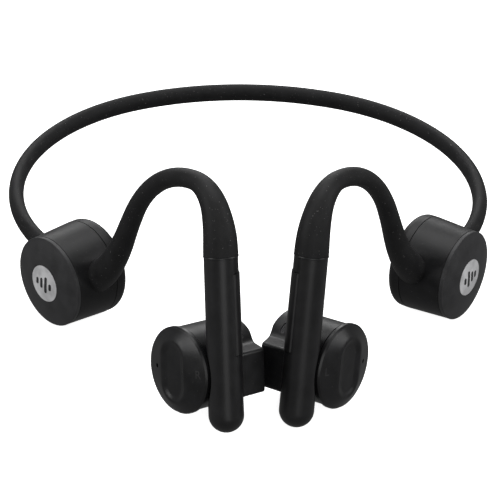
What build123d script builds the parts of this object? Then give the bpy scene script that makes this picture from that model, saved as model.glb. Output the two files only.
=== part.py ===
from build123d import *
from math import cos, radians, sin
import os

os.makedirs("parts", exist_ok=True)

# Bone conduction headphones: a sprung neckband, a round pod behind each ear, a rubber hook over
# each ear, and a stem with a transducer drum in front of it. The arms are drawn flexed inward,
# with the two contact blocks held together by their magnets.
#
# Wearing frame, in millimetres: X to the wearer's left, -Y forward, Z square to the neckband loop,
# whose centre line lies in Z = 0. Everything is built for the +X side and mirrored for the other.
# Front frame, one per arm: X forwards from the drum's axis to the stem, Y outboard from the drum's
# rim plane, Z up along the stem. Pod frame: X rearwards, Y up, Z outboard from the pod's rim plane.

# ---- stance: the arms' front is tipped down until the pods and a stem tip touch the ground
STAND_PITCH = 2.75
GROUND_LIFT = 18.02
GROUND_SHIFT = -4.22

# ---- neckband: three tangent arcs each side of the back, radius and turn in degrees
BAND_BACK = 76.1
BAND_ARCS = ((73.9, 21.7), (52.8, 73.5), (48.3, 25.4))
BAND_TALL = 4.9
BAND_WIDE = 3.9
WIRE_R = 0.5
CABLE_R = 0.65
CORE_OFFSET = 0.85
CORE_INTO_POD = 2.6
CORE_INTO_STEM = 6.0
BAND_PORT_GAP = 0.2

# ---- pod
POD_RIM = (52.1, -14.0, -5.0)
POD_AZIMUTH = 50.8
POD_TILT = 2.8
POD_RIM_R = 11.5
POD_BACK_R = 12.1
POD_WALL = 1.3
POD_CAP_EDGE = 1.0
POD_DOME = 1.5
POD_RIM_ROUND = 0.3
POD_SEAM = 12.2
POD_DEPTH = 16.0
POD_BACK_ROUND = 2.2
BADGE_R = 4.75
BADGE_THICK = 0.6
SEAM_GAP = 0.06
BATTERY_AT = (1.0, -1.2, -9.6)
BATTERY_R = 6.05
BATTERY_TALL = 5.4
BOARD_R = 6.9
BOARD_BACK = -8.0
BOARD_THICK = 1.0
CHIPS = (
    (-2.2, 2.0, 4.2, 4.2, 0.9),
    (2.9, 2.4, 2.6, 3.0, 0.7),
    (-2.6, -3.0, 3.2, 2.0, 0.6),
    (2.6, -2.4, 2.2, 3.4, 1.1),
)
CONTACT_X = 3.4
CONTACT_R = 0.9

# ---- front frame: where the drum's rim centre is and how the stem leans
DRUM_RIM = (19.2, -55.1, -3.1)
DRUM_AZIMUTH = 51.8
DRUM_TILT = 8.9
STEM_LEAN = 16.3
# The magnets hold the two fronts a little out of line, each turned about its own pod.
CLASP_YAW = -2.58
CLASP_PITCH = 1.57
CLASP_ROLL = 0.46
CLASP_SHIFT = -0.56

# ---- stem
STEM_X = 11.55
STEM_Y = -4.1
STEM_TOP = 27.35
STEM_END = -9.2
STEM_TOP_R = 3.92
STEM_END_R = 4.1
STEM_WALL = 1.0
RECESS_R = 11.5
RECESS_FLOOR = -3.2
STRIP_TOP = 22.0
STRIP_BOTTOM = 10.6
STRIP_DEPTH = 1.0

# ---- hook: straight rise, three bends, a straight, and the flare into the pod, in the hook's plane
HOOK_TURN = 4.5
HOOK_RISE = 3.3
HOOK_BENDS = ((20.4, 21.3), (9.5, 63.25), (28.5, 59.35))
HOOK_STRAIGHT = 6.3
HOOK_FLARE = (33.8, 29.6)
# Hook radius at shares of its length.
HOOK_RADII = (
    (0.0, 4.12),
    (0.08, 3.74),
    (0.16, 3.06),
    (0.26, 2.3),
    (0.4, 2.26),
    (0.6, 2.28),
    (0.75, 2.53),
    (0.88, 3.2),
    (1.0, 3.83),
)
HOOK_SECTIONS = 30
HOOK_SPIGOT_R = 1.6
SPIGOT_BACK = 4.0
SPIGOT_IN = 1.4
FIT_GAP = 0.05

# ---- drum
RIM_R = 10.3
CAP_EDGE = 0.9
CAP_CREST = 0.3
CAP_CROWN = 2.06
CAP_SKIRT_R = 8.5
CAP_SKIRT_DEPTH = 0.9
CAP_WALL = 0.8
DISH = (14.4, 7.6)
DISH_DEPTH = 0.45
DISH_MARGIN = 0.9
DISH_SLOPE = 1.6
BODY_R = 9.9
BODY_INNER_R = 8.8
BODY_END = -16.3
BODY_END_WALL = 1.2
BODY_STEP = (7.6, -13.9)
BODY_ROUND = 3.2
TAB_X = 14.4
TAB_HALF = 5.3
TAB_CORNER = 0.8
TAB_BLEND = 2.6
TAB_EDGE = 0.35
TAB_TIP_Y = -13.6
TAB_END_ANGLE = 19.4
PAD_R = 6.2
PAD_FACE = -16.4
PAD_BACK = -15.0
PAD_GAP = 0.25
PAD_ROUND = 0.8

# ---- inside the drum: y of each face along the drum's axis
KEY_TRAVEL = 0.3
KEY_BOARD = (-3.9, -3.1)
KEY_POST = (1.2, -2.0)
KEY_DOME_R = 1.9
LIGHT_AT = (-6.0, 0.9)
LIGHT_HOLE_R = 0.6
LIGHT_PIPE_R = 0.55
YOKE_R = 6.6
YOKE_FACES = (-11.4, -8.2)
YOKE_WALL = 0.8
MAGNET_R = 4.6
MAGNET_FACE = -11.1
COIL_R = (4.95, 5.45)
COIL_FACES = (-12.5, -10.0)
PLATE_R = 7.2
PLATE_FACE = -13.0
PLATE_POST_R = 3.0
CLASP_MAGNET = (3.4, 2.0, 7.0)
CLASP_MAGNET_AT = (11.7, -12.3, 0)
GRILLE_ANGLE = 41.0
GRILLE_Y = -13.0
GRILLE = (3.0, 1.6)
GRILLE_SINK = 0.25
MIC_BOX = (2.6, 1.8, 1.0)
CABLE_PORT_R = 1.1


def turned(azimuth, tilt):
    """Unit vector that points azimuth degrees from -Y towards +X, tilt degrees up."""
    a, t = radians(azimuth), radians(tilt)
    return Vector(cos(t) * sin(a), -cos(t) * cos(a), sin(t))


def plane_facing(origin, azimuth, tilt):
    """Pod frame: Z outboard, X rearwards and level, Y up."""
    a = radians(azimuth)
    return Plane(origin=origin, x_dir=(cos(a), sin(a), 0), z_dir=turned(azimuth, tilt))


def front_plane():
    """Front frame of the +X arm before the magnets turn it."""
    a, t, g = radians(DRUM_AZIMUTH), radians(DRUM_TILT), radians(STEM_LEAN)
    level = Vector(-cos(a), -sin(a), 0)
    rise = Vector(-sin(a) * sin(t), cos(a) * sin(t), cos(t))
    ahead = level * cos(g) + rise * sin(g)
    up = rise * cos(g) - level * sin(g)
    return Plane(origin=DRUM_RIM, x_dir=ahead, z_dir=up)


def clasp(side):
    """How the magnets turn the front of one arm about its pod, in the +X frame."""
    pod = Vector(*POD_RIM)
    turn = Rot(0, 0, side * CLASP_YAW) * Rot(side * CLASP_PITCH, 0, 0) * Rot(0, side * CLASP_ROLL, 0)
    return Pos(side * CLASP_SHIFT, 0, 0) * Pos(pod) * turn * Pos(-pod)


def rod(r, low, high, x=0.0, z=0.0):
    """Round bar along the front frame's Y, from low to high."""
    return Pos(x, high, z) * Rot(90, 0, 0) * extrude(Circle(r), high - low)


def lathe(outline):
    """Solid turned from an outline of (radius, height) points about Z."""
    points = [(r, 0, h) for r, h in outline]
    return revolve(make_face(Polyline(*points, close=True)), Axis.Z)


def arc_chain(start, heading, pieces):
    """Wire in the XY plane of tangent runs: (0, length) is straight, (radius, turn) bends."""
    edges = []
    point, angle = Vector(*start), heading
    for size, amount in pieces:
        ahead = Vector(cos(radians(angle)), sin(radians(angle)))
        if size == 0:
            edge = Line(point, point + ahead * amount)
        else:
            edge = JernArc(start=point, tangent=ahead, radius=size, arc_size=amount)
            angle += amount
        edges.append(edge)
        point = edge @ 1
    return Wire(edges)


def across(wire, share, flat_normal):
    """Plane square to a wire at a share of its length, with X along the wire's own plane normal."""
    return Plane(origin=wire @ share, x_dir=flat_normal, z_dir=wire % share)


def tube_along(wire, r, flat_normal=(0, 0, 1)):
    return sweep(across(wire, 0, flat_normal) * Circle(r), path=wire)


# ------------------------------------------------------------------ neckband
def band_half(extra=0.0):
    """Neckband centre line from the middle of the back to the left pod."""
    tail = [(0, extra)] if extra else []
    return arc_chain((0, BAND_BACK), 0, [(r, -turn) for r, turn in BAND_ARCS] + tail)


def band_path(extra=0.0):
    """Neckband centre line from pod to pod round the back."""
    left = band_half(extra)
    return Wire(left.mirror(Plane.YZ).edges() + left.edges())


def band_tube(path, grow=0.0):
    """The neckband's oval section swept along a path."""
    oval = Ellipse(BAND_TALL / 2 + grow, BAND_WIDE / 2 + grow)
    return sweep(across(path, 0, (0, 0, 1)) * oval, path=path)


def make_neckband():
    sleeve = band_tube(band_path())
    cores = {}
    for name, r, height in (("wire", WIRE_R, CORE_OFFSET), ("cable", CABLE_R, -CORE_OFFSET)):
        core = Pos(0, 0, height) * tube_along(band_path(CORE_INTO_POD), r)
        sleeve = sleeve - core
        cores[name] = core
    return {"neckband_sleeve": sleeve, "neckband_wire": cores["wire"], "neckband_cable": cores["cable"]}


# ------------------------------------------------------------------ pod, in its own frame
def pod_barrel(extra=0.0):
    """Outer form of the pod's curved side, used to trim what meets it."""
    return lathe(
        [
            (0, -POD_DEPTH - 1),
            (POD_BACK_R + extra, -POD_DEPTH - 1),
            (POD_BACK_R + extra, -POD_SEAM),
            (POD_RIM_R + extra, -POD_CAP_EDGE),
            (POD_RIM_R + extra, 2),
            (0, 2),
        ]
    )


def make_pod_cap():
    edge = POD_RIM_R - 0.5
    ball_r = (edge**2 + POD_DOME**2) / (2 * POD_DOME)
    body = Pos(0, 0, -POD_CAP_EDGE) * extrude(Circle(POD_RIM_R), POD_CAP_EDGE + POD_DOME)
    dome = Pos(0, 0, POD_DOME - ball_r) * Sphere(ball_r)
    cap = body & dome
    rims = [e for e in cap.edges() if e.geom_type == GeomType.CIRCLE and abs(e.radius - POD_RIM_R) < 0.01]
    cap = fillet(ShapeList(rims).sort_by(Axis.Z)[-1], POD_RIM_ROUND)
    cap += Pos(0, 0, -POD_CAP_EDGE - 1.4) * extrude(Circle(POD_RIM_R - POD_WALL - FIT_GAP), 1.5)
    cap -= Pos(0, 0, -POD_CAP_EDGE - 2) * extrude(Circle(POD_RIM_R - POD_WALL - 1.1), 2.1)
    pocket = Pos(0, 0, POD_DOME - 2 * BADGE_THICK) * extrude(Circle(BADGE_R), 3)
    badge_form = Pos(0, 0, POD_DOME - 2 * BADGE_THICK) * extrude(Circle(BADGE_R - 0.03), 3)
    return cap - pocket, badge_form & dome


def make_pod_housing(ports):
    low, high = -POD_SEAM + SEAM_GAP, -POD_CAP_EDGE - SEAM_GAP
    shell = lathe(
        [
            (POD_RIM_R - POD_WALL, high),
            (POD_RIM_R - 0.15, high),
            (POD_RIM_R, high - 0.15),
            (POD_BACK_R, low + 0.15),
            (POD_BACK_R - 0.15, low),
            (POD_RIM_R - POD_WALL, low),
        ]
    )
    for port in ports:
        shell -= port
    return shell


def make_pod_cover():
    inner = POD_RIM_R - POD_WALL - FIT_GAP
    body = Pos(0, 0, -POD_DEPTH) * extrude(Circle(POD_BACK_R), POD_DEPTH - POD_SEAM)
    body = fillet(body.edges().sort_by(Axis.Z)[0], POD_BACK_ROUND)
    body += Pos(0, 0, -POD_SEAM) * extrude(Circle(inner), 1.15)
    body -= Pos(0, 0, -POD_DEPTH + POD_WALL) * extrude(Circle(inner - 1.3), POD_DEPTH)
    ring = extrude(Circle(inner + 1), 0.64) - extrude(Circle(inner - 0.6), 0.64)
    groove = Pos(0, 0, -POD_SEAM + 0.33) * ring
    gasket = Pos(0, 0, -POD_SEAM + 0.65) * Torus(inner - 0.29, 0.29)
    return body - groove, gasket


def make_battery():
    cell = Pos(*BATTERY_AT) * extrude(Circle(BATTERY_R), BATTERY_TALL)
    return fillet(cell.edges(), 0.4)


def make_main_board():
    """Round board and the chips on it, each given as x, y, width, depth and height."""
    board = Pos(0, 0, BOARD_BACK) * extrude(Circle(BOARD_R), BOARD_THICK)
    top = BOARD_BACK + BOARD_THICK
    blocks = [Pos(x, y, top + h / 2) * Box(w, d, h) for x, y, w, d, h in CHIPS]
    return board, Compound(blocks)


def make_contacts():
    """Two charging pins through the pod's inner face."""
    pin = extrude(Circle(CONTACT_R), POD_WALL + 1.2)
    return [Pos(x, 0, -POD_DEPTH) * pin for x in (-CONTACT_X, CONTACT_X)]


# ------------------------------------------------------------------ hook, in the front frame
def hook_plane():
    turn = radians(HOOK_TURN)
    return Plane(
        origin=(STEM_X, STEM_Y, STEM_TOP),
        x_dir=(-cos(turn), -sin(turn), 0),
        z_dir=(-sin(turn), cos(turn), 0),
    )


def hook_path(extra_low=0.0, extra_high=0.0):
    """From the stem over the ear to the pod, in the hook plane's XY with Y up the stem."""
    pieces = [(0, HOOK_RISE + extra_low)]
    pieces += [(r, -turn) for r, turn in HOOK_BENDS]
    pieces += [(0, HOOK_STRAIGHT), HOOK_FLARE]
    if extra_high:
        pieces.append((0, extra_high))
    return arc_chain((0, -extra_low), 90, pieces)


def hook_radius(share):
    for (low, r_low), (high, r_high) in zip(HOOK_RADII, HOOK_RADII[1:]):
        if share <= high:
            return r_low + (r_high - r_low) * (share - low) / (high - low)
    return HOOK_RADII[-1][1]


def make_hook():
    """Rubber sleeve, spring wire, cable, and the location of the sleeve's pod end, Z along it."""
    path = hook_path()
    shares = [i / HOOK_SECTIONS for i in range(HOOK_SECTIONS + 1)]
    sleeve = loft([across(path, share, (0, 0, 1)) * Circle(hook_radius(share)) for share in shares])
    end = across(path, 1, (0, 0, 1)).location
    stub = end * Pos(0, 0, -0.5) * extrude(Circle(HOOK_RADII[-1][1]), 3.0)
    core = hook_path(CORE_INTO_STEM, CORE_INTO_POD)
    wire = Pos(0, 0, CORE_OFFSET) * tube_along(core, WIRE_R)
    cable = Pos(0, 0, -CORE_OFFSET) * tube_along(core, CABLE_R)
    return sleeve + stub, wire, cable, end


# ------------------------------------------------------------------ stem, in the front frame
def stem_form(shrink=0.0):
    """Slightly tapered round stem with a round end."""
    tall = STEM_TOP - STEM_END
    cone = Pos(STEM_X, STEM_Y, STEM_END) * Cone(
        STEM_END_R - shrink, STEM_TOP_R - shrink, tall, align=(Align.CENTER, Align.CENTER, Align.MIN)
    )
    return cone + Pos(STEM_X, STEM_Y, STEM_END) * Sphere(STEM_END_R - shrink)


def strip_form(grow=0.0):
    """Space of the cover strip on the stem's inboard side."""
    tall = STRIP_TOP - STRIP_BOTTOM
    middle = (STRIP_TOP + STRIP_BOTTOM) / 2
    return Pos(STEM_X, STEM_Y - 3.4, middle) * Box(5.4 + grow, 3.4 + grow, tall + grow)


def make_stem():
    """Stem shell, with the drum's recess and body cut out of it, and its cover strip."""
    outer, inner = stem_form(), stem_form(STEM_WALL)
    inner -= Pos(STEM_X, STEM_Y, STEM_TOP - 2.0) * extrude(Circle(5), 3)
    inner -= rod(RECESS_R + STEM_WALL, RECESS_FLOOR - STEM_WALL, 4)
    shell = outer - inner
    shell -= rod(RECESS_R, RECESS_FLOOR, 4)
    shell -= rod(BODY_R + 0.02, BODY_END, RECESS_FLOOR)
    shell -= strip_form(0.06)
    shell -= Pos(STEM_X, STEM_Y, STEM_TOP - 3) * extrude(Circle(1.9), 4)
    strip = outer & strip_form()
    return shell, strip - stem_form(STRIP_DEPTH)


def make_stem_board():
    return Pos(STEM_X + 1.2, STEM_Y, 13.4) * Box(0.8, 4.0, 14.0)


def make_ferrule():
    """Crimp on the end of the hook's wire."""
    return Pos(STEM_X, STEM_Y + CORE_OFFSET, STEM_TOP - CORE_INTO_STEM + 1.0) * Cylinder(0.95, 2.6)


# ------------------------------------------------------------------ drum, in the front frame
def at_height(y, shape):
    """Put a sketch square to the drum's axis at height y, its X forwards and its Y down."""
    return Pos(0, y, 0) * Rot(-90, 0, 0) * shape


def dish_slot(grow=0.0):
    """The stadium that the dished button area follows, long way up the stem."""
    return Rot(0, 0, 90) * SlotOverall(DISH[0] + grow, DISH[1] + grow)


def make_key_cap():
    """Press key: bevelled rim, dished middle, hollow skirt and a post over the switch."""
    crown = loft([at_height(CAP_CREST, Circle(RIM_R)), at_height(CAP_CROWN, dish_slot(DISH_MARGIN))])
    cap = rod(RIM_R, -CAP_EDGE, CAP_CREST) + crown
    dish_floor = at_height(CAP_CROWN - DISH_DEPTH, dish_slot(-DISH_SLOPE))
    cap -= loft([dish_floor, at_height(CAP_CROWN + 0.01, dish_slot())])
    cap += rod(CAP_SKIRT_R, -CAP_EDGE - CAP_SKIRT_DEPTH, -CAP_EDGE)
    cap -= rod(CAP_SKIRT_R - CAP_WALL, -CAP_EDGE - CAP_SKIRT_DEPTH - 1, CAP_CREST - 0.1)
    post_r, post_end = KEY_POST
    cap += rod(post_r, post_end, CAP_CREST)
    return cap - rod(LIGHT_HOLE_R, -3, 4, *LIGHT_AT)


def make_light_pipe():
    return rod(LIGHT_PIPE_R, KEY_BOARD[1], -CAP_EDGE + 0.5, *LIGHT_AT)


def make_key_switch():
    board = rod(BODY_INNER_R, *KEY_BOARD)
    dome = rod(KEY_DOME_R, KEY_BOARD[1], KEY_POST[1] - KEY_TRAVEL - 0.05)
    return board, dome


def tab_outline():
    """Round body seen along its axis with the clasp tab growing out of its front."""
    tab = Pos(TAB_X / 2, 0) * RectangleRounded(TAB_X, 2 * TAB_HALF, TAB_CORNER)
    outline = Circle(BODY_R) + tab
    inner_corners = [v for v in outline.vertices() if 4 < v.X < BODY_R]
    return fillet(inner_corners, TAB_BLEND)


def make_tab():
    """Clasp tab beside the stem, cut off at a slant so that the two tabs meet flat."""
    deep = -BODY_END
    tab = Rot(90, 0, 0) * extrude(tab_outline(), deep)
    block = Pos(TAB_X, TAB_TIP_Y, 0) * Rot(0, 0, TAB_END_ANGLE) * Pos(0, -deep / 2, 0) * Box(60, deep, 30)
    tab -= block
    tab -= Rot(90, 0, 0) * extrude(Circle(BODY_R - 1), deep)
    tab = fillet(tab.faces().sort_by(Axis.X)[-1].edges().sort_by(Axis.Y)[0], TAB_EDGE)
    return tab - stem_form(-0.02)


def make_drum_housing():
    top = -CAP_EDGE - KEY_TRAVEL - 0.1
    body = rod(BODY_R, BODY_END, top)
    body = fillet(body.edges().group_by(Axis.Y)[0], BODY_ROUND)
    tab = make_tab() & rod(40, BODY_END, RECESS_FLOOR)
    housing = body + tab
    step_r, step_y = BODY_STEP
    housing -= rod(BODY_INNER_R, step_y, 0) + rod(step_r, BODY_END + BODY_END_WALL, step_y)
    housing -= rod(PAD_R + PAD_GAP, BODY_END - 1, 0)
    pocket = [size + 0.1 for size in CLASP_MAGNET]
    housing -= clasp_magnet_place() * Box(*pocket)
    housing -= cable_port()
    cut = Rot(0, GRILLE_ANGLE, 0) * Pos(0, GRILLE_Y, BODY_INNER_R - 0.8) * extrude(SlotOverall(*GRILLE), 3)
    return housing - cut


def cable_port():
    """Hole in the drum's wall that lets the cable pass from the stem into the drum."""
    return Pos(BODY_R - 0.7, STEM_Y - 1.4, 3.0) * Rot(0, 90, 0) * Cylinder(CABLE_PORT_R, 5.0)


def make_contact_pad():
    pad = rod(PAD_R, PAD_FACE, PAD_BACK)
    return fillet(pad.edges().group_by(Axis.Y)[0], PAD_ROUND)


def make_transducer():
    """Iron yoke cup on its flange, magnet, moving coil, and the plate that carries coil and pad."""
    face, back = YOKE_FACES
    floor = back - YOKE_WALL
    yoke = rod(YOKE_R, face, back) + rod(BODY_INNER_R, floor, back)
    yoke -= rod(YOKE_R - YOKE_WALL, face - 1, floor)
    magnet = rod(MAGNET_R, MAGNET_FACE, floor)
    coil_low, coil_high = COIL_FACES
    coil = rod(COIL_R[1], coil_low, coil_high) - rod(COIL_R[0], coil_low - 1, coil_high + 1)
    plate = rod(PLATE_R, PLATE_FACE, coil_low) + rod(PLATE_POST_R, PAD_BACK, PLATE_FACE)
    return yoke, magnet, coil, plate


def clasp_magnet_place():
    return Pos(*CLASP_MAGNET_AT) * Rot(0, 0, TAB_END_ANGLE)


def make_microphone():
    """Grille insert and the microphone capsule behind it."""
    place = Rot(0, GRILLE_ANGLE, 0) * Pos(0, GRILLE_Y, 0)
    insert = SlotOverall(GRILLE[0] - 0.06, GRILLE[1] - 0.06)
    thick = BODY_R - BODY_INNER_R - 0.1 - GRILLE_SINK
    mesh = place * Pos(0, 0, BODY_INNER_R + 0.1) * extrude(insert, thick)
    capsule = place * Pos(0, 0, BODY_INNER_R - 0.6) * Box(*MIC_BOX)
    return mesh, capsule


# ------------------------------------------------------------------ assembly
def build_arm(side):
    """All nodes of one arm in the wearing frame, before mirroring."""
    front = clasp(side) * front_plane().location
    pod = plane_facing(POD_RIM, POD_AZIMUTH, POD_TILT).location
    to_pod = pod.inverse()

    sleeve, wire, cable, end = make_hook()
    hook_place = front * hook_plane().location
    spigot_place = hook_place * end * Pos(0, 0, -SPIGOT_BACK)
    barrel = pod * pod_barrel(0.02)
    hook = hook_place * sleeve - barrel
    hook = hook.solids().sort_by(SortBy.VOLUME)[-1]
    spigot = spigot_place * extrude(Circle(HOOK_SPIGOT_R), SPIGOT_BACK + SPIGOT_IN)
    bore = spigot_place * extrude(Circle(HOOK_SPIGOT_R + FIT_GAP), 9.0)
    hook = hook + (spigot & (pod * pod_barrel(0.1)))
    wire, cable = hook_place * wire, hook_place * cable
    hook = hook - wire - cable

    band_port = band_tube(band_half(2.0), BAND_PORT_GAP)

    cap, badge = make_pod_cap()
    cover, gasket = make_pod_cover()
    housing = make_pod_housing([to_pod * band_port, to_pod * bore])
    cover -= to_pod * bore
    shell, strip = make_stem()
    drum = make_drum_housing()
    mesh, capsule = make_microphone()
    switch_board, dome = make_key_switch()
    yoke, magnet, coil, plate = make_transducer()
    ferrule = make_ferrule()

    nodes = {
        "pod_cap": pod * cap,
        "pod_badge": pod * badge,
        "pod_housing": pod * housing,
        "pod_gasket": pod * gasket,
        "hook_sleeve": hook,
        "hook_wire": wire,
        "hook_cable": cable,
        "stem_housing": front * shell,
        "stem_strip": front * strip,
        "stem_board": front * make_stem_board(),
        "drum_housing": front * drum,
        "key_cap": front * make_key_cap(),
        "light_pipe": front * make_light_pipe(),
        "key_board": front * switch_board,
        "key_dome": front * dome,
        "transducer_yoke": front * yoke,
        "transducer_magnet": front * magnet,
        "voice_coil": front * coil,
        "vibration_plate": front * plate,
        "contact_pad": front * make_contact_pad(),
        "clasp_magnet": front * clasp_magnet_place() * Box(*CLASP_MAGNET),
        "microphone_mesh": front * mesh,
        "microphone": front * capsule,
        "wire_ferrule": front * ferrule - wire,
    }
    if side > 0:
        nodes["battery"] = pod * make_battery()
    else:
        board, chips = make_main_board()
        pins = make_contacts()
        for pin in pins:
            cover = cover - pin
        nodes["main_board"] = pod * board
        nodes["board_chips"] = pod * chips
        nodes["charging_contacts"] = pod * Compound(pins)
    nodes["pod_cover"] = pod * cover
    return nodes


def stand(shape):
    return Pos(0, GROUND_SHIFT, GROUND_LIFT) * Rot(STAND_PITCH, 0, 0) * shape


def main():
    parts = dict(make_neckband())
    for side, word in ((1, "left"), (-1, "right")):
        for name, shape in build_arm(side).items():
            parts[f"{word}_{name}"] = shape if side > 0 else shape.mirror(Plane.YZ)
    for name, shape in parts.items():
        export_step(stand(shape), f"parts/{name}.step")


main()
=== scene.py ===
from math import cos, hypot, pi, radians, sin, sqrt

import bmesh
import bpy
from mathutils import Matrix, Vector


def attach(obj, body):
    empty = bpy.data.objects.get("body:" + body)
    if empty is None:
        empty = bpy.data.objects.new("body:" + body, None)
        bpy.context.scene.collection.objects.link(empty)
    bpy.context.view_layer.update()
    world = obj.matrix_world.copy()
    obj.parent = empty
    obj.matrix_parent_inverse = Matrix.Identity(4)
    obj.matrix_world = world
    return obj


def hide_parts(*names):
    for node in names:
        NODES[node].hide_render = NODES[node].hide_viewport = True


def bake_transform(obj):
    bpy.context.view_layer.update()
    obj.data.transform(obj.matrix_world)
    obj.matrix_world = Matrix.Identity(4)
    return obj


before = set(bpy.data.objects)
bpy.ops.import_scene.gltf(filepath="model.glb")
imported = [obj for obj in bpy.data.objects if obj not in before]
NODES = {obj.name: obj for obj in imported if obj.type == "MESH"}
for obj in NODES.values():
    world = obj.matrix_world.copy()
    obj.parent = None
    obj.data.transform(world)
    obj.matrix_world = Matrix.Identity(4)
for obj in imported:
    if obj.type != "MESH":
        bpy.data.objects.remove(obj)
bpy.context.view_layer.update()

MM = 0.001
SIDES = ((1, "left"), (-1, "right"))

# ---- stance and frames, as in the CAD model, in millimetres and degrees
STAND_PITCH = 2.75
GROUND_LIFT = 18.02
GROUND_SHIFT = -4.22
POD_RIM = Vector((52.1, -14.0, -5.0))
POD_AZIMUTH = 50.8
POD_TILT = 2.8
DRUM_RIM = Vector((19.2, -55.1, -3.1))
DRUM_AZIMUTH = 51.8
DRUM_TILT = 8.9
STEM_LEAN = 16.3
# a small turn and shift of each front about its pod, which keeps the sides from being exact mirrors
CLASP = {"yaw": -2.58, "pitch": 1.57, "roll": 0.46, "shift": -0.56}


def turn(axis, degrees):
    return Matrix.Rotation(radians(degrees), 4, axis)


def axes(origin, x, y, z):
    """Placement with its own axes x, y and z at an origin."""
    m = Matrix((x, y, z)).transposed().to_4x4()
    m.translation = origin
    return m


STAND = (
    Matrix.Scale(MM, 4)
    @ Matrix.Translation((0, GROUND_SHIFT, GROUND_LIFT))
    @ turn("X", STAND_PITCH)
)


def smooth(t):
    """Smooth step from 0 at t = 0 to 1 at t = 1."""
    t = min(1.0, max(0.0, t))
    return t * t * (3 - 2 * t)


def mirror(side):
    """The left side as it is, the right side flipped in X."""
    return Matrix.Diagonal((side, 1, 1, 1))


def pod_frame(side):
    """X rearwards, Y up, Z outboard from the middle of the pod's rim."""
    a, t = radians(POD_AZIMUTH), radians(POD_TILT)
    x = Vector((cos(a), sin(a), 0))
    z = Vector((cos(t) * sin(a), -cos(t) * cos(a), sin(t)))
    return STAND @ mirror(side) @ axes(POD_RIM, x, z.cross(x), z)


def front_frame(side):
    """X forwards to the stem, Y outboard from the drum's rim, Z up along the stem."""
    a, t, g = radians(DRUM_AZIMUTH), radians(DRUM_TILT), radians(STEM_LEAN)
    level = Vector((-cos(a), -sin(a), 0))
    rise = Vector((-sin(a) * sin(t), cos(a) * sin(t), cos(t)))
    x = level * cos(g) + rise * sin(g)
    z = rise * cos(g) - level * sin(g)
    clasp = turn("Z", side * CLASP["yaw"]) @ turn("X", side * CLASP["pitch"])
    clasp = clasp @ turn("Y", side * CLASP["roll"])
    about = Matrix.Translation(POD_RIM + Vector((side * CLASP["shift"], 0, 0)))
    clasp = about @ clasp @ Matrix.Translation(-POD_RIM)
    return STAND @ mirror(side) @ clasp @ axes(DRUM_RIM, x, z.cross(x), z)


# ------------------------------------------------------------------ meshes
def piece(name, points, faces, place, body, material, smooth=60, cad=()):
    """Mesh piece from points in a local frame, riding on a CAD body."""
    mesh = bpy.data.meshes.new(name)
    mesh.from_pydata([place @ Vector(p) for p in points], [], faces)
    return finish_mesh(name, mesh, body, material, smooth, cad)


def finish_mesh(name, mesh, body, material, smooth=60, cad=()):
    """Object from a mesh, cleaned and shaded smooth up to an angle in degrees."""
    b = bmesh.new()
    b.from_mesh(mesh)
    bmesh.ops.remove_doubles(b, verts=b.verts, dist=1e-7)
    bmesh.ops.recalc_face_normals(b, faces=b.faces)
    b.to_mesh(mesh)
    b.free()
    mesh.shade_smooth()
    mesh.set_sharp_from_angle(angle=radians(smooth))
    mesh.materials.clear()
    mesh.materials.append(material)
    obj = bpy.data.objects.new(name, mesh)
    bpy.context.scene.collection.objects.link(obj)
    if body:
        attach(obj, body)
    if cad:
        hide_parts(*cad)
    return obj


def rings_to_tube(rings, closed_ends=True):
    """Points and faces of a tube through rings of equal count."""
    n = len(rings[0])
    points = [p for ring in rings for p in ring]
    faces = []
    for i in range(len(rings) - 1):
        for j in range(n):
            k = (j + 1) % n
            faces.append((i * n + j, i * n + k, (i + 1) * n + k, (i + 1) * n + j))
    if closed_ends:
        faces.append(tuple(range(n)))
        faces.append(tuple(range((len(rings) - 1) * n, len(rings) * n)))
    return points, faces


def block(points, faces, place):
    """Loose mesh object, for carving."""
    mesh = bpy.data.meshes.new("block")
    mesh.from_pydata([place @ Vector(p) for p in points], [], faces)
    return finish_mesh("block", mesh, None, HOLE_SHADE)


def evaluated_mesh(obj):
    """New mesh of an object with its modifiers applied."""
    depsgraph = bpy.context.evaluated_depsgraph_get()
    return bpy.data.meshes.new_from_object(obj.evaluated_get(depsgraph))


def carve(base, cuts):
    """Mesh of a block after exact cuts, each an operation and another block."""
    for operation, tool in cuts:
        m = base.modifiers.new("cut", "BOOLEAN")
        m.operation, m.solver, m.object = operation, "EXACT", tool
    done = evaluated_mesh(base)
    for obj in (base, *[tool for _, tool in cuts]):
        bpy.data.objects.remove(obj)
    return done


def circle(radius, steps):
    """Points (x, y) evenly round the origin."""
    turns = [2 * pi * j / steps for j in range(steps)]
    return [(radius * cos(t), radius * sin(t)) for t in turns]


def lathe(profile, steps):
    """Points and faces of a solid of revolution about local Z.

    The profile is a list of (radius, height) that starts and ends off the axis.
    """
    return rings_to_tube([[(x, y, height) for x, y in circle(r, steps)] for r, height in profile])


def box_form(low, high):
    """Points and faces of a plain box, for carving."""
    (ax, ay, az), (bx, by, bz) = low, high
    return rings_to_tube([[(ax, ay, z), (bx, ay, z), (bx, by, z), (ax, by, z)] for z in (az, bz)])


def add_form(points, faces, form):
    """Append the points and faces of another form to a mesh in the making."""
    more_points, more_faces = form
    faces += [tuple(i + len(points) for i in face) for face in more_faces]
    points += more_points


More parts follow.
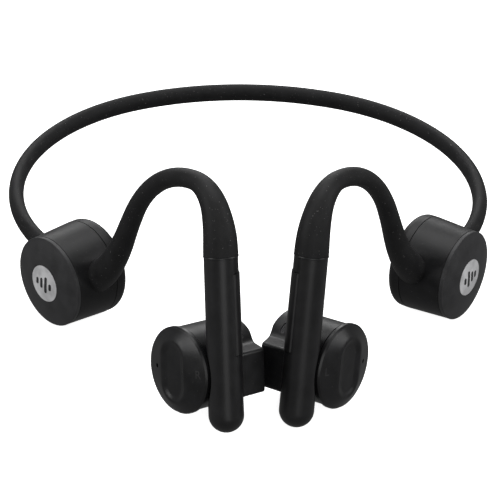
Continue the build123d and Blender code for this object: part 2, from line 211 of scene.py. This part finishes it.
def chain(start, heading, runs, step):
    """Stations (x, y, heading, length so far) along tangent runs in the XY plane.

    A run is (radius, degrees) for an arc, left turns positive, or (0, length) for a straight.
    """
    stations = []
    x, y, angle, done = start[0], start[1], radians(heading), 0.0
    for radius, amount in runs:
        length = amount if radius == 0 else radius * abs(radians(amount))
        count = max(1, round(length / step))
        for i in range(count + 1):
            s = length * i / count
            if radius == 0:
                px, py, a = x + s * cos(angle), y + s * sin(angle), angle
            else:
                sign = 1 if amount > 0 else -1
                a = angle + sign * s / radius
                px = x + sign * radius * (sin(a) - sin(angle))
                py = y - sign * radius * (cos(a) - cos(angle))
            if i or not stations:
                stations.append((px, py, a, done + s))
        x, y, angle, done = px, py, a, done + length
    return stations


def tube_rings(stations, radius, count=48):
    """Rings square to a planar path. radius(share) gives half the height and half the width."""
    total = stations[-1][3]
    rings = []
    for x, y, a, s in stations:
        tall, wide = radius(s / total)
        ring = []
        for j in range(count):
            t = 2 * pi * j / count
            side = wide * sin(t)
            ring.append((x + side * sin(a), y - side * cos(a), tall * cos(t)))
        rings.append(ring)
    return rings


# ------------------------------------------------------------------ materials
def nodes_of(name):
    mat = bpy.data.materials.new(name)
    mat.use_nodes = True
    tree = mat.node_tree
    return mat, tree, tree.nodes["Principled BSDF"]


def link(tree, a, b):
    tree.links.new(a, b)


def noise(tree, scale, detail=3.0, rough=0.55):
    """Noise in the row's own metres."""
    coords = tree.nodes.new("ShaderNodeTexCoord")
    n = tree.nodes.new("ShaderNodeTexNoise")
    n.inputs["Scale"].default_value = scale
    n.inputs["Detail"].default_value = detail
    n.inputs["Roughness"].default_value = rough
    link(tree, coords.outputs["Object"], n.inputs["Vector"])
    return n.outputs["Fac"]


def ramp(tree, source, low, high, a, b):
    """A value mapped from low and high to a and b, and held there beyond them."""
    r = tree.nodes.new("ShaderNodeMapRange")
    r.inputs["From Min"].default_value = low
    r.inputs["From Max"].default_value = high
    r.inputs["To Min"].default_value = a
    r.inputs["To Max"].default_value = b
    link(tree, source, r.inputs["Value"])
    return r.outputs["Result"]


def mix_colour(tree, factor, a, b):
    m = tree.nodes.new("ShaderNodeMix")
    m.data_type = "RGBA"
    m.inputs["A"].default_value = (*a, 1)
    m.inputs["B"].default_value = (*b, 1)
    link(tree, factor, m.inputs["Factor"])
    return m.outputs["Result"]


CLOUD_SCALE = 260
DUST_SCALE = 2600
DUST_FROM, DUST_FULL = 0.735, 0.76
DUST_COLOUR = (0.45, 0.44, 0.43, 1)
LIGHTER, LIFT, DARKER = 1.28, 0.002, 0.8


def moulded(name, colour, rough, grain=9000, bump=0.05, specks=0.0, metallic=0.0, spread=0.06,
            specular=0.5, edge=0.00015, depth=0.00002):
    """Moulded plastic, rubber or metal: fine grain, cloudy roughness, soft edges, pale dust.

    edge is the radius of the shaded edges and depth the height of the grain, both in metres.
    """
    mat, tree, bsdf = nodes_of(name)
    cloud = noise(tree, CLOUD_SCALE)
    shade = ramp(tree, cloud, 0.3, 0.7, 0.0, 1.0)
    light = tuple(min(1.0, c * LIGHTER + LIFT) for c in colour)
    dark = tuple(c * DARKER for c in colour)
    tint = mix_colour(tree, shade, dark, light)
    if specks:
        dust = ramp(tree, noise(tree, DUST_SCALE, 1.0, 0.4), DUST_FROM, DUST_FULL, 0.0, specks)
        m = tree.nodes.new("ShaderNodeMix")
        m.data_type = "RGBA"
        link(tree, dust, m.inputs["Factor"])
        link(tree, tint, m.inputs["A"])
        m.inputs["B"].default_value = DUST_COLOUR
        tint = m.outputs["Result"]
    link(tree, tint, bsdf.inputs["Base Color"])
    link(tree, ramp(tree, cloud, 0.25, 0.75, rough - spread, rough + spread), bsdf.inputs["Roughness"])
    bsdf.inputs["Metallic"].default_value = metallic
    bsdf.inputs["Specular IOR Level"].default_value = specular
    b = tree.nodes.new("ShaderNodeBump")
    b.inputs["Strength"].default_value = bump
    b.inputs["Distance"].default_value = depth
    link(tree, noise(tree, grain, 2.0), b.inputs["Height"])
    if edge:
        e = tree.nodes.new("ShaderNodeBevel")
        e.samples = 4
        e.inputs["Radius"].default_value = edge
        link(tree, e.outputs["Normal"], b.inputs["Normal"])
    link(tree, b.outputs["Normal"], bsdf.inputs["Normal"])
    return mat


BLACK = (0.0085, 0.0085, 0.0090)
SOFT = {"grain": 5200, "bump": 0.55, "specks": 0.22, "edge": 0, "depth": 0.00008}
HARD = {"grain": 10000, "bump": 0.14, "specks": 0.06, "depth": 0.00003}
SATIN = {"spread": 0.02, "bump": 0.1, "edge": 0, "depth": 0.00001}
KEY_SATIN = {"grain": 10000, "bump": 0.12, "specks": 0.06, "edge": 0}
BAND = moulded("band_silicone", BLACK, 0.60, specular=0.20, **SOFT)
HOOK = moulded("hook_silicone", (0.0090, 0.0090, 0.0095), 0.56, specular=0.24, **SOFT)
PAD = moulded("pad_silicone", (0.0090, 0.0090, 0.0095), 0.60, specular=0.25, **SOFT)
POD = moulded("pod_matte", (0.0068, 0.0068, 0.0074), 0.42, specular=0.26, **HARD)
POD_FACE = moulded("pod_face", (0.0290, 0.0290, 0.0305), 0.46, specular=0.34, edge=0, **HARD)
STEM = moulded("stem_satin", (0.0078, 0.0078, 0.0085), 0.36, specular=0.42, **SATIN)
STRIP = moulded("strip_satin", (0.0085, 0.0085, 0.0092), 0.38, specular=0.40, **SATIN)
DRUM = moulded("drum_satin", (0.0060, 0.0060, 0.0066), 0.36, specular=0.30, edge=0.00028, **HARD)
KEY = moulded("key_satin", (0.0085, 0.0085, 0.0092), 0.33, specular=0.36, **KEY_SATIN)
MARK = moulded("mark_grey", (0.020, 0.020, 0.021), 0.45, bump=0.1, edge=0)
BADGE = moulded("badge_silver", (0.62, 0.62, 0.63), 0.42, grain=8000, bump=0.1, spread=0.04)
GLYPH = moulded("badge_glyph", (0.020, 0.020, 0.022), 0.45, grain=8000, bump=0.1)
GRILLE = moulded("grille_mesh", (0.04, 0.04, 0.042), 0.45, bump=0.2, metallic=0.6, edge=0)
# near-black, barely reflective material, painted on the grille's dots as the shade inside its holes; the
# carving blocks also carry it, and they are removed
HOLE_SHADE = moulded("hole_painted_shade", (0.0015, 0.0015, 0.0015), 0.8, bump=0.2, specular=0.1, edge=0)
GOLD = moulded("contact_gold", (0.80, 0.58, 0.24), 0.28, grain=8000, bump=0.08, metallic=1.0, spread=0.05)
STEEL = moulded("inner_steel", (0.45, 0.45, 0.46), 0.35, grain=7000, bump=0.1, metallic=1.0)
COPPER = moulded("coil_copper", (0.70, 0.32, 0.16), 0.35, grain=12000, bump=0.4, metallic=1.0)
BOARD = moulded("board_green", (0.012, 0.10, 0.035), 0.4, grain=6000, bump=0.2)
CLEAR = moulded("light_pipe", (0.05, 0.05, 0.055), 0.2, grain=6000, bump=0.05)
SEAL = moulded("seal_rubber", (0.03, 0.03, 0.03), 0.6, grain=6000, bump=0.3)

NODE_MATERIALS = {
    "pod_cap": POD_FACE, "pod_badge": BADGE, "pod_housing": POD, "pod_gasket": SEAL, "pod_cover": POD,
    "hook_sleeve": HOOK, "hook_wire": STEEL, "hook_cable": SEAL, "stem_housing": STEM,
    "stem_strip": STRIP, "stem_board": BOARD, "drum_housing": DRUM, "key_cap": KEY, "light_pipe": CLEAR,
    "key_board": BOARD, "key_dome": STEEL, "transducer_yoke": STEEL, "transducer_magnet": STEEL,
    "voice_coil": COPPER, "vibration_plate": STEEL, "contact_pad": PAD, "clasp_magnet": STEEL,
    "microphone_mesh": GRILLE, "microphone": STEEL, "wire_ferrule": GOLD, "battery": BADGE,
    "main_board": BOARD, "board_chips": GLYPH, "charging_contacts": GOLD,
    "neckband_sleeve": BAND, "neckband_wire": STEEL, "neckband_cable": SEAL,
}


def plain_name(node):
    for side in ("left_", "right_"):
        if node.startswith(side):
            return node[len(side):]
    return node


for node, obj in NODES.items():
    obj.data.materials.clear()
    obj.data.materials.append(NODE_MATERIALS[plain_name(node)])

# ------------------------------------------------------------------ neckband
BAND_BACK = 76.1
BAND_ARCS = ((73.9, 21.7), (52.8, 73.5), (48.3, 25.4))
BAND_TALL, BAND_WIDE = 2.45, 1.95
BAND_INTO_POD, BAND_STEP = 1.8, 1.2


def neckband_half(side, word):
    """Half of the band, from the middle of the back into the pod, bending beside the pod."""
    runs = [(r, -a) for r, a in BAND_ARCS] + [(0, BAND_INTO_POD)]
    stations = chain((0, BAND_BACK), 0, runs, BAND_STEP)
    points, faces = rings_to_tube(tube_rings(stations, lambda share: (BAND_TALL, BAND_WIDE)))
    cad = ("neckband_sleeve", "neckband_wire", "neckband_cable") if side > 0 else ("neckband_sleeve",)
    place = STAND @ mirror(side)
    obj = piece("neckband_" + word, points, faces, place, None, BAND, cad=cad)
    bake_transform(obj)


for side, word in SIDES:
    neckband_half(side, word)

# ------------------------------------------------------------------ stems
STEM_X, STEM_Y, STEM_TOP, STEM_END = 11.55, -4.1, 27.35, -9.2
STEM_TOP_R, STEM_END_R = 3.92, 4.1
END_STEPS, STEM_STEP, ROUND_STEPS = 24, 0.8, 120
# the bead at the top, as (depth below the top, amount outside the stem)
BEAD = ((0.50, 0.0), (0.44, 0.09), (0.36, 0.14), (0.20, 0.14), (0.08, 0.08), (0.02, -0.05))
RECESS_R, RECESS_FLOOR = 11.5, -3.2
BODY_R, BODY_END = 9.9, -16.3
PAST_STEM, CUT_OVERLAP = 4, 0.01
STRIP_TOP, STRIP_BOTTOM, STRIP_HALF = 24.2, 5.4, 2.7
STRIP_Y, STRIP_OUTSIDE = -1.7, -6.0
STRIP_GAP = 0.18
STRIP_TURN = 40.0
STRIP_PROUD = 0.20
LAP = 1.0  # the shell's reach up over the hook, above the CAD stem


def stem_frame(side):
    """Z up the middle of the stem, from the level of the drum's axis."""
    return front_frame(side) @ Matrix.Translation((STEM_X, STEM_Y, 0))


def stem_profile(grow=0.0):
    """Round end, gentle taper up to the hook, then a small bead."""
    out = []
    for i in range(1, END_STEPS + 1):
        t = pi / 2 * i / END_STEPS
        out.append(((STEM_END_R + grow) * sin(t), STEM_END - (STEM_END_R + grow) * cos(t)))
    tall = STEM_TOP + LAP - BEAD[0][0] - STEM_END
    count = round(tall / STEM_STEP)
    for i in range(1, count + 1):
        r = STEM_END_R + (STEM_TOP_R - STEM_END_R) * i / count
        out.append((r + grow, STEM_END + tall * i / count))
    return out + [(STEM_TOP_R + out_by, STEM_TOP + LAP - below) for below, out_by in BEAD[1:]]


def drum_rod(side, radius, low, high):
    """Round bar along the drum's axis, for carving."""
    form = lathe(((radius, -high), (radius, -low)), ROUND_STEPS)
    return block(*form, front_frame(side) @ turn("X", 90))


def strip_box(side, grow):
    """Box round the cover strip, reaching out past the stem, for carving."""
    low = (-STRIP_HALF - grow, STRIP_OUTSIDE, STRIP_BOTTOM - grow)
    high = (STRIP_HALF + grow, STRIP_Y + grow, STRIP_TOP + grow)
    return block(*box_form(low, high), stem_frame(side) @ turn("Z", STRIP_TURN))


def stem(side, word):
    """Stem shell with the drum's recess and the strip's slot, and the strip in it."""
    place, body = stem_frame(side), word + "_arm"
    form = lathe(stem_profile(), ROUND_STEPS)
    shell = carve(block(*form, place), [
        ("DIFFERENCE", drum_rod(side, RECESS_R, RECESS_FLOOR, PAST_STEM)),
        ("DIFFERENCE", drum_rod(side, BODY_R, BODY_END, RECESS_FLOOR + CUT_OVERLAP)),
        ("DIFFERENCE", strip_box(side, STRIP_GAP)),
    ])
    replaced = (word + "_stem_housing",)
    finish_mesh(word + "_stem_shell", shell, body, STEM, 30, replaced)
    proud = lathe(stem_profile(STRIP_PROUD), ROUND_STEPS)
    strip = carve(block(*proud, place), [("INTERSECT", strip_box(side, 0))])
    replaced = (word + "_stem_strip",)
    finish_mesh(word + "_stem_cover", strip, body, STRIP, 30, replaced)


# ------------------------------------------------------------------ hooks
HOOK_TURN = 4.5
# the path, as a rise, (radius, degrees) bends over the ear, a straight and a flare
HOOK_RISE = 3.3
HOOK_BENDS = ((20.4, 21.3), (9.5, 63.25), (28.5, 59.35))
HOOK_STRAIGHT = 6.3
HOOK_FLARE = (33.8, 29.6)
HOOK_INTO_POD = 2.4
HOOK_GAP, HOOK_STEP, HOOK_COUNT = 0.03, 0.8, 64
# (share of the length, radius), averaged over near shares
HOOK_NEAR, HOOK_APART = range(-3, 4), 0.01
HOOK_RADII = (
    (0, 4.02), (0.02, 4.0), (0.08, 3.72), (0.16, 3.06), (0.26, 2.3), (0.4, 2.26),
    (0.6, 2.28), (0.75, 2.53), (0.88, 3.2), (1, 3.9),
)
ROOT_DROP = 1.9
ROOT_FROM = 0.70


def hook_frame(side):
    """The hook's plane: X rearwards over the ear, Y up the stem, from the stem's top."""
    t = radians(HOOK_TURN)
    x, y, z = Vector((-cos(t), -sin(t), 0)), Vector((0, 0, 1)), Vector((-sin(t), cos(t), 0))
    return front_frame(side) @ axes(Vector((STEM_X, STEM_Y, STEM_TOP)), x, y, z)


def hook_radius(share):
    """Radius at a share of the hook's length, smoothed over its neighbours."""
    total = 0.0
    for k in HOOK_NEAR:
        at = min(1.0, max(0.0, share + HOOK_APART * k))
        for (low, r_low), (high, r_high) in zip(HOOK_RADII, HOOK_RADII[1:]):
            if low <= at <= high:
                total += r_low + (r_high - r_low) * (at - low) / (high - low)
                break
    return total / len(HOOK_NEAR)


def hook(side, word):
    """Rubber hook that swells into a boot, set low on the pod's side."""
    runs = [(0, HOOK_RISE - LAP)] + [(r, -t) for r, t in HOOK_BENDS]
    runs += [(0, HOOK_STRAIGHT), HOOK_FLARE, (0, HOOK_INTO_POD)]
    stations = chain((0, LAP + HOOK_GAP), 90, runs, HOOK_STEP)
    length = stations[-1][3] - HOOK_INTO_POD
    low = []
    for x, y, a, at in stations:
        drop = ROOT_DROP * smooth((at / length - ROOT_FROM) / (1 - ROOT_FROM))
        low.append((x, y - drop, a, at))
    scale = stations[-1][3] / length
    rings = tube_rings(low, lambda share: [hook_radius(share * scale)] * 2, HOOK_COUNT)
    points, faces = rings_to_tube(rings)
    place, body, replaced = hook_frame(side), word + "_arm", (word + "_hook_sleeve",)
    piece(word + "_hook_rubber", points, faces, place, body, HOOK, 40, replaced)


for side, word in SIDES:
    stem(side, word)
    hook(side, word)

# ------------------------------------------------------------------ press keys
RIM_R, RIM_BEVEL, CAP_EDGE, CREST, CROWN = 10.3, 0.34, 0.9, 0.3, 2.06
DISH_LONG, DISH_WIDE, DISH_DEPTH, DISH_RUN = 7.5, 4.2, 0.55, 1.9
EDGE_SOFT = 0.7
CAP_CHAMFER = 0.15
SKIRT_OUTER, SKIRT_INNER, SKIRT_END = 8.5, 7.7, -1.8
POST_R, POST_END = 1.2, -2.0
LIGHT_AT = (-6.15, 0.35)
LIGHT_R, LIGHT_STEPS = 0.55, 24
LIGHT_DEEP, LIGHT_ABOVE = -0.8, 3.0
MARK_AT = (8.0, 0.45)
MARK_SIZE, MARK_HALF, MARK_LIFT = 2.7, 0.02, 0.005
KEY_RINGS, KEY_STEPS, RING_POWER = 64, 144, 0.85


def key_height(x, z):
    """Height of the key's face: a soft stadium dish, a slope out to the rim, a crisp bevel."""
    r = min(hypot(x, z), RIM_R)
    d = hypot(x, max(abs(z) - (DISH_LONG - DISH_WIDE), 0)) - DISH_WIDE
    outside = (d + sqrt(d * d + EDGE_SOFT * EDGE_SOFT)) / 2
    share = outside / (outside + RIM_R - r)
    height = CROWN - (CROWN - CREST) * share - DISH_DEPTH * smooth(-d / DISH_RUN)
    return height - max(0.0, r - (RIM_R - RIM_BEVEL))


def key_cap(side, word):
    """Key with its shaped face, a skirt and a post below it, and the light's hole."""
    rings = []
    for i in range(1, KEY_RINGS + 1):
        r = (RIM_R - RIM_BEVEL) * (i / KEY_RINGS) ** RING_POWER
        rings.append([(x, key_height(x, z), z) for x, z in circle(r, KEY_STEPS)])
    below = (
        (RIM_R, key_height(RIM_R, 0)), (RIM_R, -CAP_EDGE + CAP_CHAMFER), (RIM_R - CAP_CHAMFER, -CAP_EDGE),
        (SKIRT_OUTER, -CAP_EDGE), (SKIRT_OUTER, SKIRT_END), (SKIRT_INNER, SKIRT_END), (SKIRT_INNER, 0.0),
        (POST_R, 0.0), (POST_R, POST_END),
    )
    for r, y in below:
        rings.append([(x, y, z) for x, z in circle(r, KEY_STEPS)])
    points, faces = rings_to_tube(rings, closed_ends=False)
    points.append((0, key_height(0, 0), 0))
    last = (len(rings) - 1) * KEY_STEPS
    middle = len(points) - 1
    faces += [(middle, (j + 1) % KEY_STEPS, j) for j in range(KEY_STEPS)]
    faces.append(tuple(range(last, last + KEY_STEPS)))
    place = front_frame(side)
    ring = [(LIGHT_AT[0] + x, LIGHT_AT[1] + z) for x, z in circle(LIGHT_R, LIGHT_STEPS)]
    drill = rings_to_tube([[(x, y, z) for x, z in ring] for y in (LIGHT_DEEP, LIGHT_ABOVE)])
    mesh = carve(block(points, faces, place), [("DIFFERENCE", block(*drill, place))])
    replaced = (word + "_key_cap",)
    finish_mesh(word + "_key_face", mesh, word + "_key", KEY, 18, replaced)


def key_mark(side, word):
    """Plain side letter on the key, following its slope."""
    curve = bpy.data.curves.new("mark", "FONT")
    curve.body = "L" if side > 0 else "R"
    curve.size = MARK_SIZE
    curve.align_x, curve.align_y = "CENTER", "CENTER"
    curve.extrude = MARK_HALF
    text = bpy.data.objects.new("mark", curve)
    bpy.context.scene.collection.objects.link(text)
    mesh = evaluated_mesh(text)
    bpy.data.objects.remove(text)
    place = front_frame(side)
    for v in mesh.vertices:
        x, z = MARK_AT[0] - side * v.co.x, MARK_AT[1] + v.co.y
        v.co = place @ Vector((x, key_height(x, z) + MARK_LIFT + v.co.z, z))
    finish_mesh(word + "_key_mark", mesh, word + "_key", MARK, 30)


# ------------------------------------------------------------------ badges and grilles
DOME_R, DOME_TOP = 41.08, 1.5
POD_RIM_R, POD_ROUND, POD_CAP_EDGE = 11.5, 0.22, 1.0
POD_WALL, POD_SKIRT_END = 1.3, -1.8
POD_STEPS, DOME_STEPS, EDGE_STEPS = 144, 14, 6
BADGE_R = 4.77
POCKET_DEPTH, POCKET_EDGE_DROP, POCKET_EDGE = 0.6, 0.03, 0.04
# bars as (place across, half length), and their outlines as (growth, height over the dome)
BARS = ((-2.4, 0.9), (-0.8, 2.2), (0.8, 1.4), (2.4, 0.9))
BAR_HALF = 0.40
BAR_LEVELS = ((0.0, -0.15), (0.0, 0.11), (-0.05, 0.14))


def dome_height(x, y):
    """Height of the pod's domed face over the middle of its rim."""
    return DOME_TOP - (DOME_R - sqrt(DOME_R**2 - x * x - y * y))


def pod_face(side, word):
    """Domed outer cap with a crisp thin rim and a pocket for the badge."""
    pocket_edge = dome_height(BADGE_R, 0) - POCKET_EDGE_DROP
    profile = [(BADGE_R, DOME_TOP - POCKET_DEPTH), (BADGE_R, pocket_edge)]
    inner, outer = BADGE_R + POCKET_EDGE, POD_RIM_R - POD_ROUND
    for i in range(DOME_STEPS + 1):
        r = inner + (outer - inner) * i / DOME_STEPS
        profile.append((r, dome_height(r, 0)))
    edge = dome_height(outer, 0) - POD_ROUND
    for i in range(1, EDGE_STEPS + 1):
        t = pi / 2 * i / EDGE_STEPS
        profile.append((outer + POD_ROUND * sin(t), edge + POD_ROUND * cos(t)))
    skirt = POD_RIM_R - POD_WALL
    profile += [(POD_RIM_R, -POD_CAP_EDGE), (skirt, -POD_CAP_EDGE), (skirt, POD_SKIRT_END)]
    points, faces = lathe(profile, POD_STEPS)
    place, body, replaced = pod_frame(side), word + "_arm", (word + "_pod_cap",)
    piece(word + "_pod_face", points, faces, place, body, POD_FACE, 30, replaced)


STADIUM_STEPS, SIDE_POINTS = 10, 8


def stadium(half_long, half_wide):
    """Outline of a stadium, long way Y, with points along its straight sides."""
    out = []
    for j in range(2 * STADIUM_STEPS):
        t = pi * j / STADIUM_STEPS
        y = half_wide * sin(t) + (half_long - half_wide) * (1 if t < pi else -1)
        out.append((half_wide * cos(t), y))
        if j % STADIUM_STEPS == STADIUM_STEPS - 1:
            side = -1 if t < pi else 1
            run = (half_long - half_wide) * -side
            out += [(side * half_wide, run * (1 - 2 * k / SIDE_POINTS)) for k in range(SIDE_POINTS)]
    return out


def badge_glyph(side, word):
    """Four rounded level bars, a generic sound sign, standing just proud of the badge."""
    points, faces = [], []
    for middle, tall in BARS:
        rings = []
        for grow, lift in BAR_LEVELS:
            outline = stadium(tall + grow, BAR_HALF + grow)
            rings.append([(x + middle, y, dome_height(x + middle, y) + lift) for x, y in outline])
        add_form(points, faces, rings_to_tube(rings))
    place, body = pod_frame(side), word + "_arm"
    piece(word + "_badge_bars", points, faces, place, body, GLYPH, 30)


GRILLE_TURN, GRILLE_Y, GRILLE_TOP = 41.0, -13.0, 9.66
GRILLE_LONG, GRILLE_WIDE = 1.46, 0.76
GRILLE_BACK, GRILLE_CHAMFER = 8.9, 0.06
DOT_R, DOT_PITCH, DOT_ROW, DOT_MARGIN = 0.115, 0.36, 0.87, 0.2
DOT_SUNK, DOT_PROUD, DOT_STEPS = 0.05, 0.012, 12


def grille_frame(side):
    """Z outward from the drum's axis through the grille, Y along its slot."""
    around = front_frame(side) @ turn("Y", GRILLE_TURN)
    return around @ Matrix.Translation((0, GRILLE_Y, 0)) @ turn("Z", 90)


def grille(side, word):
    """Slotted grille insert, with rows of near-black discs on it as painted shade for its holes."""
    place, body = grille_frame(side), word + "_arm"
    levels = ((0, GRILLE_BACK), (0, GRILLE_TOP - GRILLE_CHAMFER), (-GRILLE_CHAMFER, GRILLE_TOP))
    rings = []
    for grow, z in levels:
        rings.append([(x, y, z) for x, y in stadium(GRILLE_LONG + grow, GRILLE_WIDE + grow)])
    points, faces = rings_to_tube(rings)
    replaced = (word + "_microphone_mesh",)
    piece(word + "_grille", points, faces, place, body, GRILLE, 30, replaced)
    # dots: solid discs sunk a little into the grille and standing just proud of it, near-black as painted
    # shade where the holes would be
    points, faces = [], []
    for i in range(-3, 4):
        for k in range(-1, 2):
            y, x = (i + 0.5 * (k % 2)) * DOT_PITCH, k * DOT_PITCH * DOT_ROW
            off_middle = hypot(x, max(abs(y) - (GRILLE_LONG - GRILLE_WIDE), 0))
            if off_middle > GRILLE_WIDE - DOT_MARGIN:
                continue
            ring = [(x + a, y + b) for a, b in circle(DOT_R, DOT_STEPS)]
            ends = (GRILLE_TOP - DOT_SUNK, GRILLE_TOP + DOT_PROUD)
            add_form(points, faces, rings_to_tube([[(a, b, z) for a, b in ring] for z in ends]))
    piece(word + "_grille_hole_shade", points, faces, place, body, HOLE_SHADE, 30)


for side, word in SIDES:
    key_cap(side, word)
    key_mark(side, word)
    pod_face(side, word)
    badge_glyph(side, word)
    grille(side, word)

# ------------------------------------------------------------------ camera, floor and light
LENS = 151.03
CAMERA_AT = Vector((-0.041662, -0.468412, 0.273915))
CAMERA_RIGHT = Vector((0.997017, -0.072886, 0.025392))
CAMERA_UP = Vector((0.013544, 0.489104, 0.872120))

camera_data = bpy.data.cameras.new("camera")
camera_data.lens = LENS
camera_data.sensor_width = 36
camera = bpy.data.objects.new("camera", camera_data)
bpy.context.scene.collection.objects.link(camera)
camera.matrix_world = axes(CAMERA_AT, CAMERA_RIGHT, CAMERA_UP, CAMERA_RIGHT.cross(CAMERA_UP))
bpy.context.scene.camera = camera

FLOOR_HALF = 3.0
FLOOR_CORNERS = [(x * FLOOR_HALF, y * FLOOR_HALF, 0) for x, y in ((-1, -1), (1, -1), (1, 1), (-1, 1))]
floor_mesh = bpy.data.meshes.new("floor")
floor_mesh.from_pydata(FLOOR_CORNERS, [], [(0, 1, 2, 3)])
floor = bpy.data.objects.new("floor", floor_mesh)
bpy.context.scene.collection.objects.link(floor)
floor_mat, _, floor_bsdf = nodes_of("floor_pale")
floor_bsdf.inputs["Base Color"].default_value = (0.92, 0.92, 0.92, 1)
floor_bsdf.inputs["Roughness"].default_value = 0.9
floor_bsdf.inputs["Specular IOR Level"].default_value = 0.1
floor_bsdf.inputs["Emission Color"].default_value = (1, 1, 1, 1)
floor_bsdf.inputs["Emission Strength"].default_value = 0.9
floor_mesh.materials.append(floor_mat)
floor.visible_diffuse = False
floor.visible_glossy = False


def area_light(name, at, target, size, watts, size_y=None):
    """Soft light facing a target, square unless it has a second size, in metres."""
    data = bpy.data.lights.new(name, "AREA")
    data.energy = watts
    data.size = size
    if size_y:
        data.shape = "RECTANGLE"
        data.size_y = size_y
    light = bpy.data.objects.new(name, data)
    bpy.context.scene.collection.objects.link(light)
    light.location = at
    light.rotation_euler = (Vector(target) - Vector(at)).to_track_quat("-Z", "Y").to_euler()
    return light


MIDDLE = (0, -0.01, 0.02)
area_light("top_soft", (0.0, 0.15, 0.8), MIDDLE, 0.7, 5)
area_light("left_soft", (-0.75, -0.2, 0.40), MIDDLE, 0.30, 2.2, 0.6)
area_light("right_soft", (0.75, -0.2, 0.40), MIDDLE, 0.30, 2.2, 0.6)
area_light("front_strip", (0.10, -0.9, 0.35), MIDDLE, 0.50, 1.7, 0.7)
area_light("back_soft", (0.0, 0.95, 0.45), MIDDLE, 0.8, 2.8, 0.4)

world = bpy.data.worlds.new("studio")
world.use_nodes = True
background = world.node_tree.nodes["Background"]
background.inputs["Color"].default_value = (1, 1, 1, 1)
background.inputs["Strength"].default_value = 0.21
bpy.context.scene.world = world
bpy.context.scene.view_settings.view_transform = "Standard"
